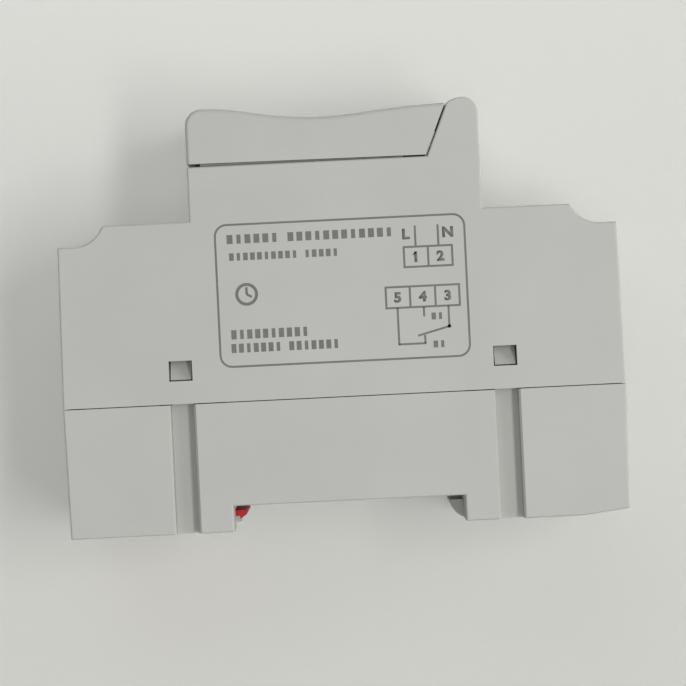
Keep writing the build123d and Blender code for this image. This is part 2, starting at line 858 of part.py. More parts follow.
def make_battery_tabs():
    """Spot-welded strips that hold the cell to the board."""
    x, z = battery_place()
    high = display_y - board_thick
    low = high - 0.6 - battery_thick
    side_x = x + battery_r + 0.2
    lower = block((x - 2, side_x + 0.4), (low - 0.3, low), (z - 1.5, z + 1.5))
    lower += block((side_x, side_x + 0.4), (low - 0.3, high), (z - 1.5, z + 1.5))
    upper = block((x - 3, x + 3), (high - 0.6, high - 0.3), (z - 1.5, z + 1.5))
    upper += block((x - 3, x - 2.6), (high - 0.6, high), (z - 1.5, z + 1.5))
    return Compound(children=[lower, upper])


def link_places():
    """Z of the six pins that join the boards, in two groups of three between the solder legs."""
    return [group * pitch / 2 + step for group in (-1, 1) for step in (-2.0, 0.0, 2.0)]


def make_board_link_pins():
    y = (board_low - 0.8, display_y + 0.7)
    strips = []
    for group in (0, 3):
        places = link_places()[group:group + 3]
        strip = block((-leg_x - 1.2, -leg_x + 1.2), (board_y, board_y + 2.4), (places[0] - 1.2, places[-1] + 1.2))
        for z in places:
            strip += block((-leg_x - 0.3, -leg_x + 0.3), y, (z - 0.3, z + 0.3))
        strips.append(strip)
    return Compound(children=strips)


# Power board

def make_power_board():
    half_x = nose_x - wall - board_edge_gap
    half_z = inner_z - board_edge_gap - 0.2
    cut = (board_low - 1, board_y + 1)
    board = block((-half_x, half_x), (board_low, board_y), (-half_z, half_z))
    for x in (-board_post_x(), board_post_x()):
        for z in (-board_post_z(), board_post_z()):
            board -= post(x, z, cut, 1.0)
    for sign, z in terminals.values():
        x = side(sign, (leg_x - leg_thick / 2 - 0.1, leg_x + leg_thick / 2 + 0.1))
        board -= block(x, cut, (z - leg_width / 2 - 0.1, z + leg_width / 2 + 0.1))
    for z in link_places():
        board -= block((-leg_x - 0.4, -leg_x + 0.4), cut, (z - 0.4, z + 0.4))
    return board


def relay_box():
    half_x, height, half_z = relay_size[0] / 2, relay_size[1], relay_size[2] / 2
    return (-half_x, half_x), (board_y, board_y + height), (-half_z, half_z)


def make_relay_base():
    x, y, z = relay_box()
    return block((x[0] + 0.9, x[1] - 0.9), (y[0], y[0] + 1.6), (z[0] + 0.9, z[1] - 0.9))


def make_relay_case():
    x, y, z = relay_box()
    case = block(x, y, z)
    case = fillet([e for e in case.edges() if e.center().Y > y[0] + 1], 0.5)
    inside = tuple((v[0] + relay_wall, v[1] - relay_wall) for v in (x, z))
    return case - block(inside[0], (y[0] - 1, y[1] - relay_wall), inside[1])


def relay_levels():
    """Heights in the relay: floor of the coil, top of the coil, underside of the armature."""
    low = board_y + 1.6 + 1.3
    return low, low + coil_height, low + coil_height + 0.4 + armature_gap


coil_z = 3.4
yoke_z = (10.2, 11.6)


def make_relay_coil():
    """Bobbin and winding on a core."""
    low, high, _ = relay_levels()
    coil = post(0, coil_z, (low, high), coil_r)
    for y in ((low, low + 0.9), (high - 0.9, high)):
        coil += post(0, coil_z, y, coil_r + 0.9)
    return coil + post(0, coil_z, (low, high + 0.4), core_r)


def make_relay_yoke():
    low, high, plate = relay_levels()
    foot = block((-5, 5), (low - 1.2, low), (coil_z - coil_r, yoke_z[1]))
    return foot + block((-5, 5), (low - 1.2, plate - 0.1), yoke_z)


def make_relay_armature():
    _, _, plate = relay_levels()
    return block((-4.6, 4.6), (plate, plate + 1.2), (coil_z - 4.4, yoke_z[1]))


def contact_z():
    return coil_z - 11.8


def make_relay_blade():
    """Springy contact arm carried by the armature, with a contact on each face."""
    _, _, plate = relay_levels()
    z = contact_z()
    blade = block((-1.9, 1.9), (plate + 1.2, plate + 1.5), (z - 1.6, coil_z + 3))
    return blade + post(0, z, (plate + 0.6, plate + 2.1), 1.2)


def make_relay_contact(sign):
    """Fixed contact above the blade (sign 1, closed at rest) or below it (sign -1, open at rest)."""
    _, _, plate = relay_levels()
    z = contact_z()
    gap = (yoke_z[1] - z) * math.tan(math.radians(armature_travel)) + 0.12
    y = plate + 2.16 if sign > 0 else plate + 0.6 - gap
    x = 4.6 * sign
    outer = z - 3.6
    strip_y = side(sign, (sign * y + 0.5, sign * y + 1.0))
    contact = post(0, z, (y, y + sign * 0.8), 1.2)
    contact += block((min(x, -1.5), max(x, 1.5)), strip_y, (z - 1.5, z + 1.5))
    contact += block((x - 0.25, x + 0.25), strip_y, (outer, z + 1.5))
    return contact + block((x - 0.25, x + 0.25), (board_y + 1.6, strip_y[1]), (outer, outer + 1.6))


def make_dropper_capacitor():
    x = relay_size[0] / 2 + 1.0
    z = -board_post_z() + 1.5
    box = block((x, x + dropper_size[0]), (board_y, board_y + dropper_size[1]), (z, z + dropper_size[2]))
    return fillet([e for e in box.edges() if e.center().Y > board_y + 1], 0.6)


def make_smoothing_capacitor():
    x = -relay_size[0] / 2 - 0.6 - smoothing_r
    z = -pitch / 2 - 1.0
    can = post(x, z, (board_y, board_y + smoothing_height), smoothing_r)
    can = fillet(can.edges().sort_by(Axis.Y)[-1], 0.6)
    ring = post(x, z, (board_y + 1.6, board_y + 2.2), smoothing_r + 1) - post(
        x, z, (board_y + 1.4, board_y + 2.4), smoothing_r - 0.3
    )
    return can - ring


def make_varistor():
    x = relay_size[0] / 2 + 1.6
    y = board_y + varistor_r + 1.0
    z = inner_z - varistor_r - 3.4
    disc = pin_x((x, x + varistor_thick), y, z, varistor_r)
    disc = fillet(disc.edges(), 0.8)
    middle = x + varistor_thick / 2
    for shift in (-1.8, 1.8):
        disc += post(middle, z + shift, (board_y, y - varistor_r + 1.6), 0.3)
    return disc


def make_rectifier_diodes():
    right = -relay_size[0] / 2 - 1.3
    parts = []
    for step in range(3):
        z = 1.6 + 3.3 * step
        body = pin_x((right - 5.2, right), board_y + 1.4, z, 1.3)
        lead = pin_x((right - 5.9, right + 0.7), board_y + 1.4, z, 0.3)
        parts.append(body + lead)
    return Compound(children=parts)


def make_power_resistors():
    """Two bleed resistors standing beside the varistor's side of the board."""
    x = relay_size[0] / 2 + 7.5
    first = -board_post_z() + dropper_size[2] + 3.5
    parts = []
    for z in (first, first + 3.0):
        parts.append(post(x, z, (board_y + 0.6, board_y + 6.4), 1.1) + post(x, z, (board_y, board_y + 7.4), 0.3))
    return Compound(children=parts)


# Terminals

def make_contact_bar(number):
    """Copper bar from inside the clamp through the partition and down to the power board."""
    sign, z = terminals[number]
    half = cage_clear / 2 - bar_play
    y = (bar_top - bar_thick, bar_top)
    far = terminal_x + cage_length / 2 + 0.4
    bar = block(side(sign, (leg_x - leg_thick / 2, far)), y, (z - half, z + half))
    leg_span = side(sign, (leg_x - leg_thick / 2, leg_x + leg_thick / 2))
    return bar + block(leg_span, (board_low - 0.8, y[1]), (z - leg_width / 2, z + leg_width / 2))


def make_terminal_screw(number):
    sign, z = terminals[number]
    x = sign * terminal_x
    head = post(x, z, (head_low, head_top), head_r)
    head = fillet(head.edges().sort_by(Axis.Y)[-1], 0.4)
    screw = head + post(x, z, (bar_top + 0.05, head_low + 0.1), shank_r)
    tilt = Pos(x, head_top, z) * Rot(0, 30 + 25 * number, 0)
    slot = Box(2 * head_r - 0.9, 2.2, 0.75)
    cross = Box(0.75, 2.6, 3.4)
    return screw - tilt * slot - tilt * cross


def make_clamp_cage(number):
    """Box clamp: threaded top plate, side walls and a floor that lifts the wire against the bar."""
    sign, z = terminals[number]
    x = (sign * terminal_x - cage_length / 2, sign * terminal_x + cage_length / 2)
    half = cage_width / 2
    cage = block(x, (cage_low, cage_top), (z - half, z + half))
    long_edges = [e for e in cage.edges() if abs(e.center().X - sign * terminal_x) < 0.01]
    cage = fillet(long_edges, 0.6)
    inside = (x[0] - 1, x[1] + 1)
    cage -= block(inside, (cage_low + cage_wall, cage_top - cage_nut), (z - cage_clear / 2, z + cage_clear / 2))
    return cage - post(sign * terminal_x, z, (cage_top - cage_nut - 1, cage_top + 1), shank_r + thread_play)


def build():
    """Every node's name and its solid or group of solids."""
    made = {
        "base_housing": make_base_housing(),
        "front_housing": make_front_housing(),
        "flip_lid": make_flip_lid(),
        "lid_window": make_lid_window(),
        "front_panel": make_front_panel(),
        "display_lens": make_display_lens(),
        "lcd_cell": make_lcd_cell(),
        "lcd_diffuser": make_lcd_diffuser(),
        "zebra_strips": make_zebra_strips(),
        "display_board": make_display_board(),
        "key_switches": make_key_switches(),
        "status_led": make_status_led(),
        "controller_chip": make_controller_chip(),
        "quartz_crystal": make_quartz_crystal(),
        "backup_battery": make_backup_battery(),
        "battery_tabs": make_battery_tabs(),
        "board_link_pins": make_board_link_pins(),
        "power_board": make_power_board(),
        "relay_base": make_relay_base(),
        "relay_case": make_relay_case(),
        "relay_coil": make_relay_coil(),
        "relay_yoke": make_relay_yoke(),
        "relay_armature": make_relay_armature(),
        "relay_blade": make_relay_blade(),
        "relay_contact_closed": make_relay_contact(1),
        "relay_contact_open": make_relay_contact(-1),
        "dropper_capacitor": make_dropper_capacitor(),
        "smoothing_capacitor": make_smoothing_capacitor(),
        "varistor": make_varistor(),
        "rectifier_diodes": make_rectifier_diodes(),
        "power_resistors": make_power_resistors(),
        "din_clip": make_din_clip(),
        "clip_spring": make_clip_spring(),
    }
    for name in key_layout():
        made[name] = make_key(name)
    for number in terminals:
        made[f"terminal_screw_{number}"] = make_terminal_screw(number)
        made[f"clamp_cage_{number}"] = make_clamp_cage(number)
        made[f"contact_bar_{number}"] = make_contact_bar(number)
    return made


def main():
    os.makedirs("parts", exist_ok=True)
    for name, shape in build().items():
        export_step(shape, f"parts/{name}.step")


main()
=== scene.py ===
import math

import bpy
from mathutils import Matrix, Vector


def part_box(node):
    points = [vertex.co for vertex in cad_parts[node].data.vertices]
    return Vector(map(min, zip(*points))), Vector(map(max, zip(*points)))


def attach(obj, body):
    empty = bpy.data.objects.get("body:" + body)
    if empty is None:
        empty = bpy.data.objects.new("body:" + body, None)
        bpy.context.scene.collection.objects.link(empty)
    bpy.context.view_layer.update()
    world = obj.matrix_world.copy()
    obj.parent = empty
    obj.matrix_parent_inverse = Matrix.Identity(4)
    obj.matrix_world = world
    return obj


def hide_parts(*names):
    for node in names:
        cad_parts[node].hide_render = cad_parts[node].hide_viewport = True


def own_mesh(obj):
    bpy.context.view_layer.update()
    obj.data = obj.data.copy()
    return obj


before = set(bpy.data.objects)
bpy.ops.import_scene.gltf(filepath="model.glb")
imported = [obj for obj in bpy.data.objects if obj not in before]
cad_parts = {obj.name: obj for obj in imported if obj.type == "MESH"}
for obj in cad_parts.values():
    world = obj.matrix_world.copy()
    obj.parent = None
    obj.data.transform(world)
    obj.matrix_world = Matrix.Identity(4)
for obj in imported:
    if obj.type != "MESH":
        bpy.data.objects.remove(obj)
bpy.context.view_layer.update()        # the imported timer's bodies and nodes
mm = 0.001


# camera, table and light

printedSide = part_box("front_housing")[1].z
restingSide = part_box("front_housing")[0].z

cameraLook = {
    "fieldWidth": 105.05 * mm,               # width seen at the printed side
    "height": 450 * mm,                      # lens above the printed side
    "middle": (0.17 * mm, 24.14 * mm),       # what the middle of the picture shows
    "below": (1.0 * mm, 24.14 * mm),         # what is straight below the lens
    "roll": -2.77,
    "sensor": 36.0,
}

tableLook = {
    "size": 3.0,
    "pale": (0.296, 0.297, 0.283),
    "shaded": (0.281, 0.282, 0.269),
    "rough": 0.62,
}

lightLook = {
    # place, size, power, colour, and whether it lights the table alone
    "window": ((0.43, -0.045, 1.15), (0.70, 0.15), 5.0, (1.0, 0.99, 0.97), False),
    "lowSoft": ((1.6, 0.10, 1.06), (1.5, 1.0), 14.0, (1.0, 0.985, 0.965), False),
    "overhead": ((0.0, -0.11, 1.40), (0.25, 0.25), 2.6, (0.99, 1.0, 1.0), False),
    "tableFill": ((-0.10, 0.46, 0.42), (0.5, 0.5), 6.3, (1.0, 1.0, 0.995), True),
    "roomColour": (0.95, 0.96, 0.95),
    "roomStrength": 0.30,
}


def makeCamera(look):
    data = bpy.data.cameras.new("camera")
    camera = bpy.data.objects.new("camera", data)
    bpy.context.scene.collection.objects.link(camera)
    turn = math.radians(look["roll"])
    right = Vector((math.cos(turn), math.sin(turn)))
    up = Vector((-math.sin(turn), math.cos(turn)))
    offset = Vector(look["middle"]) - Vector(look["below"])
    camera.location = (*look["below"], printedSide + look["height"])
    camera.rotation_euler = (0, 0, turn)
    data.sensor_width = look["sensor"]
    data.lens = look["sensor"] * look["height"] / look["fieldWidth"]
    data.shift_x = offset.dot(right) / look["fieldWidth"]
    data.shift_y = offset.dot(up) / look["fieldWidth"]
    data.clip_start = 0.01
    data.clip_end = 20
    bpy.context.scene.camera = camera


def makeLight(name, place, size, power, colour, tableOnly):
    data = bpy.data.lights.new(name, "AREA")
    data.shape = "RECTANGLE"
    data.size, data.size_y = size
    data.energy = power
    data.color = colour
    light = bpy.data.objects.new(name, data)
    bpy.context.scene.collection.objects.link(light)
    aim = Vector((0, 0.025, 0)) - Vector(place)
    light.matrix_world = Matrix.Translation(place) @ aim.to_track_quat("-Z", "Y").to_matrix().to_4x4()
    if tableOnly:
        # what the room throws back onto the table, inside the soft shadow too
        data.use_shadow = False
        light.light_linking.receiver_collection = tableGroup


def makeRoom(look):
    world = bpy.data.worlds.new("room")
    bpy.context.scene.world = world
    world.use_nodes = True
    background = world.node_tree.nodes["Background"]
    background.inputs["Color"].default_value = (*look["roomColour"], 1)
    background.inputs["Strength"].default_value = look["roomStrength"]
    bpy.context.scene.view_settings.view_transform = "Standard"
    for name in ("window", "lowSoft", "overhead", "tableFill"):
        makeLight(name, *look[name])


tableGroup = bpy.data.collections.new("table_group")
makeCamera(cameraLook)
makeRoom(lightLook)
print("camera and light placed")


# finishes: a wire is one shader value, and a finish is one material

class Wire:
    def __init__(self, finish, socket):
        self.finish = finish
        self.socket = socket

    def maths(self, operation, first, second):
        return self.finish.node("ShaderNodeMath", {"operation": operation}, {0: first, 1: second})

    def __add__(self, other):
        return self.maths("ADD", self, other)

    def __radd__(self, other):
        return self.maths("ADD", other, self)

    def __sub__(self, other):
        return self.maths("SUBTRACT", self, other)

    def __rsub__(self, other):
        return self.maths("SUBTRACT", other, self)

    def __mul__(self, other):
        return self.maths("MULTIPLY", self, other)

    def __rmul__(self, other):
        return self.maths("MULTIPLY", other, self)


class Finish:
    def __init__(self, name):
        self.material = bpy.data.materials.new(name)
        self.material.use_nodes = True
        self.tree = self.material.node_tree
        self.tree.nodes.clear()
        self.place = self.node("ShaderNodeTexCoord", out="Object")

    def node(self, kind, settings=None, values=None, out=0):
        made = self.tree.nodes.new(kind)
        for key, value in (settings or {}).items():
            setattr(made, key, value)
        for key, value in (values or {}).items():
            if isinstance(value, Wire):
                self.tree.links.new(value.socket, made.inputs[key])
            else:
                made.inputs[key].default_value = value
        return Wire(self, made.outputs[out]) if made.outputs else None

    def noise(self, size, detail=2.0, stretch=(1, 1, 1), shift=(0, 0, 0)):
        place = self.node(
            "ShaderNodeMapping", {}, {"Vector": self.place, "Location": shift, "Scale": stretch}
        )
        return self.node(
            "ShaderNodeTexNoise", {}, {"Vector": place, "Scale": 1 / size, "Detail": detail}
        )

    def cells(self, size, feature="F1", stretch=(1, 1, 1)):
        place = self.node("ShaderNodeMapping", {}, {"Vector": self.place, "Scale": stretch})
        return self.node(
            "ShaderNodeTexVoronoi", {"feature": feature}, {"Vector": place, "Scale": 1 / size}
        )

    def bands(self, pitch, direction, wander=0.0):
        scale = 2 * math.pi / (20 * pitch)
        return self.node(
            "ShaderNodeTexWave",
            {"bands_direction": direction},
            {"Vector": self.place, "Scale": scale, "Distortion": wander},
            out=1,
        )

    def along(self, axis):
        return self.node("ShaderNodeSeparateXYZ", {}, {0: self.place}, out=axis)

    def between(self, value, low, high):
        # 0 below low, 1 above high, soft in between
        return self.node(
            "ShaderNodeMapRange",
            {"interpolation_type": "SMOOTHSTEP"},
            {"Value": value, "From Min": low, "From Max": high},
        )

    def blend(self, factor, first, second):
        return self.node(
            "ShaderNodeMix",
            {"data_type": "RGBA"},
            {0: factor, 6: colour4(first), 7: colour4(second)},
            out=2,
        )

    def bump(self, height, depth, strength=1.0):
        return self.node(
            "ShaderNodeBump", {}, {"Strength": strength, "Distance": depth, "Height": height}
        )

    def shader(self, values):
        surface = self.node("ShaderNodeBsdfPrincipled", {}, values)
        self.node("ShaderNodeOutputMaterial", {}, {"Surface": surface})
        return self.material


def colour4(value):
    return (*value, 1.0) if isinstance(value, tuple) else value


plasticLooks = {
    # light and dark are the two ends of the plastic's own mottle
    "housing_grey": {
        "light": (0.522, 0.525, 0.501), "dark": (0.497, 0.500, 0.476), "scuffed": (0.60, 0.60, 0.58),
        "mottle": 14.0, "grain": 0.23, "grainDepth": 0.016, "rough": 0.56, "roughSpread": 0.16,
        "scuffSize": 2.6, "scuffShow": 0.16, "wave": 7.0, "waveDepth": 0.010, "gloss": 0.42,
    },
    "panel_plastic": {
        "light": (0.43, 0.44, 0.43), "dark": (0.405, 0.415, 0.405), "scuffed": (0.52, 0.52, 0.51),
        "mottle": 8.0, "grain": 0.14, "grainDepth": 0.010, "rough": 0.44, "roughSpread": 0.14,
        "scuffSize": 1.8, "scuffShow": 0.10, "wave": 5.0, "waveDepth": 0.006, "gloss": 0.45,
    },
    "white_plastic": {
        "light": (0.80, 0.80, 0.78), "dark": (0.75, 0.75, 0.73), "scuffed": (0.84, 0.84, 0.83),
        "mottle": 6.0, "grain": 0.2, "grainDepth": 0.008, "rough": 0.42, "roughSpread": 0.10,
        "scuffSize": 1.6, "scuffShow": 0.08, "wave": 4.0, "waveDepth": 0.005, "gloss": 0.45,
    },
    "black_plastic": {
        "light": (0.040, 0.041, 0.043), "dark": (0.026, 0.027, 0.029), "scuffed": (0.11, 0.11, 0.11),
        "mottle": 5.0, "grain": 0.12, "grainDepth": 0.010, "rough": 0.50, "roughSpread": 0.18,
        "scuffSize": 1.4, "scuffShow": 0.22, "wave": 3.0, "waveDepth": 0.004, "gloss": 0.5,
    },
    "relay_plastic": {
        "light": (0.055, 0.105, 0.235), "dark": (0.040, 0.082, 0.195), "scuffed": (0.16, 0.22, 0.34),
        "mottle": 7.0, "grain": 0.2, "grainDepth": 0.006, "rough": 0.30, "roughSpread": 0.12,
        "scuffSize": 1.8, "scuffShow": 0.15, "wave": 5.0, "waveDepth": 0.010, "gloss": 0.5,
    },
    "clip_red": {
        "light": (0.540, 0.007, 0.014), "dark": (0.460, 0.005, 0.011), "scuffed": (0.58, 0.03, 0.04),
        "mottle": 5.0, "grain": 0.20, "grainDepth": 0.008, "rough": 0.46, "roughSpread": 0.14,
        "scuffSize": 1.6, "scuffShow": 0.10, "wave": 4.0, "waveDepth": 0.008, "gloss": 0.22,
    },
    "yellow_plastic": {
        "light": (0.72, 0.50, 0.060), "dark": (0.64, 0.42, 0.045), "scuffed": (0.80, 0.62, 0.22),
        "mottle": 4.0, "grain": 0.18, "grainDepth": 0.008, "rough": 0.36, "roughSpread": 0.12,
        "scuffSize": 1.2, "scuffShow": 0.10, "wave": 3.0, "waveDepth": 0.008, "gloss": 0.5,
    },
    "blue_ceramic": {
        "light": (0.060, 0.155, 0.43), "dark": (0.040, 0.110, 0.33), "scuffed": (0.18, 0.28, 0.52),
        "mottle": 1.6, "grain": 0.30, "grainDepth": 0.030, "rough": 0.26, "roughSpread": 0.10,
        "scuffSize": 1.2, "scuffShow": 0.08, "wave": 1.6, "waveDepth": 0.060, "gloss": 0.5,
    },
    "key_grey": {
        "light": (0.60, 0.61, 0.60), "dark": (0.565, 0.575, 0.565), "scuffed": (0.50, 0.50, 0.49),
        "mottle": 2.4, "grain": 0.10, "grainDepth": 0.008, "rough": 0.58, "roughSpread": 0.14,
        "scuffSize": 1.1, "scuffShow": 0.16, "wave": 2.0, "waveDepth": 0.004, "gloss": 0.4,
    },
    "key_dark": {
        "light": (0.115, 0.122, 0.130), "dark": (0.088, 0.094, 0.102), "scuffed": (0.20, 0.20, 0.21),
        "mottle": 2.4, "grain": 0.10, "grainDepth": 0.008, "rough": 0.56, "roughSpread": 0.14,
        "scuffSize": 1.1, "scuffShow": 0.18, "wave": 2.0, "waveDepth": 0.004, "gloss": 0.4,
    },
}

metalLooks = {
    "plated_steel": {
        "light": (0.70, 0.71, 0.72), "dark": (0.56, 0.56, 0.55), "stain": (0.50, 0.45, 0.36),
        "brush": (1, 14, 1), "line": 0.5, "lineDepth": 0.004, "rough": 0.26, "roughSpread": 0.22,
    },
    "spring_steel": {
        "light": (0.52, 0.53, 0.55), "dark": (0.38, 0.39, 0.41), "stain": (0.30, 0.26, 0.22),
        "brush": (1, 1, 1), "line": 0.2, "lineDepth": 0.003, "rough": 0.24, "roughSpread": 0.18,
    },
    "brass": {
        "light": (0.78, 0.58, 0.27), "dark": (0.62, 0.43, 0.17), "stain": (0.36, 0.23, 0.10),
        "brush": (12, 1, 1), "line": 0.4, "lineDepth": 0.004, "rough": 0.25, "roughSpread": 0.20,
    },
    "copper_alloy": {
        "light": (0.80, 0.50, 0.33), "dark": (0.62, 0.35, 0.21), "stain": (0.34, 0.19, 0.12),
        "brush": (1, 10, 1), "line": 0.4, "lineDepth": 0.003, "rough": 0.24, "roughSpread": 0.18,
    },
}


def makePlastic(name, look):
    finish = Finish(name)
    broad = finish.noise(look["mottle"] * mm, 3)
    streak = finish.noise(look["mottle"] * 1.7 * mm, 2, (1, 0.4, 1), (0.31, 0.17, 0.43))
    grain = finish.noise(look["grain"] * mm, 2)
    wave = finish.noise(look["wave"] * mm, 1, (1, 1, 1), (0.7, 0.2, 0.9))
    rubbed = finish.noise(look["scuffSize"] * mm, 5, (1, 5, 2), (0.13, 0.57, 0.29))
    scuff = finish.between(rubbed, 0.58, 0.74)
    tone = finish.between(broad * 0.6 + streak * 0.4, 0.32, 0.68)
    colour = finish.blend(tone, look["dark"], look["light"])
    colour = finish.blend(scuff * look["scuffShow"], colour, look["scuffed"])
    rough = look["rough"] + (grain - 0.5) * look["roughSpread"] + scuff * 0.07
    height = grain * look["grainDepth"] + wave * look["waveDepth"] * 4 - scuff * 0.003
    return finish.shader({
        "Base Color": colour,
        "Roughness": rough,
        "Specular IOR Level": look["gloss"],
        "Normal": finish.bump(height, mm),
    })


def makeMetal(name, look):
    finish = Finish(name)
    drawn = finish.noise(look["line"] * mm, 4, look["brush"])
    cloud = finish.noise(3.1 * mm, 3, (1, 1, 1), (0.4, 0.6, 0.2))
    spots = finish.between(finish.noise(1.3 * mm, 5, (1, 1, 1), (0.9, 0.1, 0.5)), 0.60, 0.72)
    tone = finish.between(drawn * 0.5 + cloud * 0.5, 0.34, 0.66)
    colour = finish.blend(tone, look["dark"], look["light"])
    colour = finish.blend(spots * 0.35, colour, look["stain"])
    return finish.shader({
        "Base Color": colour,
        "Metallic": 1 - spots * 0.25,
        "Roughness": look["rough"] + (drawn - 0.5) * look["roughSpread"] + spots * 0.15,
        "Normal": finish.bump(drawn * look["lineDepth"], mm),
    })


def makeClear(name="clear_plastic"):
    finish = Finish(name)
    haze = finish.noise(9 * mm, 3)
    scratch = finish.between(finish.noise(1.5 * mm, 6, (1, 16, 1)), 0.62, 0.70)
    tone = finish.between(haze, 0.3, 0.7)
    return finish.shader({
        "Base Color": finish.blend(tone, (0.93, 0.955, 0.95), (0.965, 0.98, 0.975)),
        "Roughness": 0.035 + haze * 0.03 + scratch * 0.10,
        "IOR": 1.49,
        "Transmission Weight": 1.0,
        "Normal": finish.bump(haze * 0.010 - scratch * 0.001, mm),
    })


def makeDisplayGlass(name="display_glass"):
    finish = Finish(name)
    cloud = finish.noise(6 * mm, 2)
    speck = finish.between(finish.noise(0.09 * mm, 1), 0.35, 0.65)
    tone = finish.between(cloud * 0.8 + speck * 0.2, 0.3, 0.7)
    return finish.shader({
        "Base Color": finish.blend(tone, (0.300, 0.345, 0.262), (0.340, 0.385, 0.296)),
        "Roughness": 0.30 + cloud * 0.08,
        "Coat Weight": 0.8 + cloud * 0.2,
        "Coat Roughness": 0.05,
        "Normal": finish.bump(speck * 0.002, mm),
    })


def makeLedRed(name="led_red"):
    finish = Finish(name)
    cloud = finish.noise(1.6 * mm, 2)
    tone = finish.between(cloud, 0.3, 0.7)
    return finish.shader({
        "Base Color": finish.blend(tone, (0.46, 0.020, 0.018), (0.60, 0.038, 0.030)),
        "Roughness": 0.16 + cloud * 0.10,
        "Subsurface Weight": 0.4,
        "Subsurface Radius": (1.0, 0.2, 0.1),
        "Subsurface Scale": 1.2 * mm,
        "Normal": finish.bump(cloud * 0.01, mm),
    })


def makeBoard(name="circuit_board"):
    finish = Finish(name)
    weave = finish.bands(0.55 * mm, "X") * 0.5 + finish.bands(0.55 * mm, "Z") * 0.5
    edge = finish.cells(3.4 * mm, "DISTANCE_TO_EDGE", (1, 0.2, 1))
    track = 1 - finish.between(edge, 0.05, 0.09)
    cloud = finish.noise(7 * mm, 3)
    mask = finish.blend(finish.between(cloud, 0.3, 0.7), (0.012, 0.115, 0.052), (0.018, 0.150, 0.066))
    colour = finish.blend(track * 0.75, mask, (0.050, 0.245, 0.105))
    return finish.shader({
        "Base Color": colour,
        "Roughness": 0.30 + cloud * 0.12,
        "Normal": finish.bump(track * 0.035 + weave * 0.004, mm),
    })


def makeRubber(name="contact_rubber"):
    finish = Finish(name)
    layer = finish.between(finish.bands(0.36 * mm, "Z"), 0.4, 0.6)
    cloud = finish.noise(1.1 * mm, 3)
    return finish.shader({
        "Base Color": finish.blend(layer, (0.030, 0.030, 0.032), (0.42, 0.36, 0.33)),
        "Roughness": 0.62 + cloud * 0.16,
        "Normal": finish.bump(layer * 0.006 + cloud * 0.004, mm),
    })


def makeWinding(name="copper_winding"):
    finish = Finish(name)
    # the turn bands paint the copper dark in the grooves between turns, in step with the bump: painted
    # shade
    turn = finish.bands(0.21 * mm, "Y", 0.35)
    cloud = finish.noise(1.4 * mm, 3)
    return finish.shader({
        "Base Color": finish.blend(turn, (0.27, 0.085, 0.035), (0.66, 0.265, 0.115)),
        "Metallic": 0.85 + cloud * 0.1,
        "Roughness": 0.28 + cloud * 0.14,
        "Normal": finish.bump(turn * 0.06, mm),
    })


def makeSleeve(name="capacitor_sleeve"):
    finish = Finish(name)
    low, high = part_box("smoothing_capacitor")
    stripe = 1 - finish.between(finish.along("X"), low.x + 0.7 * mm, low.x + 0.8 * mm)
    cloud = finish.noise(2.2 * mm, 3)
    body = finish.blend(finish.between(cloud, 0.3, 0.7), (0.018, 0.026, 0.060), (0.028, 0.040, 0.085))
    can = finish.between(finish.along("Y"), high.y - 0.35 * mm, high.y - 0.25 * mm)
    colour = finish.blend(stripe, body, (0.55, 0.57, 0.60))
    return finish.shader({
        "Base Color": finish.blend(can, colour, (0.66, 0.66, 0.67)),
        "Metallic": can * 0.9,
        "Roughness": 0.30 + cloud * 0.14,
        "Normal": finish.bump(cloud * 0.03, mm),
    })


def makeResistorTan(name="resistor_tan"):
    finish = Finish(name)
    ring = finish.between(finish.bands(2.1 * mm, "Y"), 0.72, 0.80)
    tint = finish.noise(2.6 * mm, 0, (0.2, 1, 0.2))
    cloud = finish.noise(0.6 * mm, 3)
    paint = finish.blend(finish.between(tint, 0.46, 0.54), (0.36, 0.035, 0.020), (0.060, 0.030, 0.018))
    colour = finish.blend(finish.between(cloud, 0.3, 0.7), (0.50, 0.37, 0.22), (0.60, 0.46, 0.29))
    return finish.shader({
        "Base Color": finish.blend(ring, colour, paint),
        "Roughness": 0.34 + cloud * 0.14,
        "Normal": finish.bump(cloud * 0.012 + ring * 0.01, mm),
    })


def makeInk(name, light, dark):
    finish = Finish(name)
    coverage = finish.noise(0.32 * mm, 4)
    patch = finish.noise(5.5 * mm, 2, (1, 1, 1), (0.2, 0.8, 0.3))
    tone = finish.between(coverage * 0.6 + patch * 0.4, 0.30, 0.70)
    return finish.shader({
        "Base Color": finish.blend(tone, dark, light),
        "Roughness": 0.48 + coverage * 0.16,
        "Normal": finish.bump(coverage * 0.006, mm),
    })


def makeTable(look):
    finish = Finish("table_surface")
    cloud = finish.noise(0.42, 3)
    fibre = finish.noise(1.1 * mm, 4)
    return finish.shader({
        "Base Color": finish.blend(
            finish.between(cloud * 0.85 + fibre * 0.15, 0.3, 0.7), look["shaded"], look["pale"]
        ),
        "Roughness": look["rough"] + (fibre - 0.5) * 0.1,
        "Normal": finish.bump(fibre * 0.012, mm),
    })


for packed in list(bpy.data.materials):
    packed.name = "packed_" + packed.name       # leaves the plain names to the finishes
finishes = {name: makePlastic(name, look) for name, look in plasticLooks.items()}
finishes.update({name: makeMetal(name, look) for name, look in metalLooks.items()})
for make in (makeClear, makeDisplayGlass, makeLedRed, makeBoard, makeRubber,
             makeWinding, makeSleeve, makeResistorTan):
    made = make()
    finishes[made.name] = made
labelInk = makeInk("label_ink", (0.180, 0.180, 0.178), (0.135, 0.135, 0.135))
panelInk = makeInk("panel_ink", (0.060, 0.064, 0.070), (0.040, 0.043, 0.048))
segmentInk = makeInk("segment_ink", (0.030, 0.036, 0.034), (0.018, 0.022, 0.021))

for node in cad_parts.values():
    for holder in node.material_slots:
        holder.material = finishes[holder.material.name.removeprefix("packed_")]
print("finishes:", len(bpy.data.materials))


# modelling helpers: everything is drawn flat in x and y, then made thick and put in its place

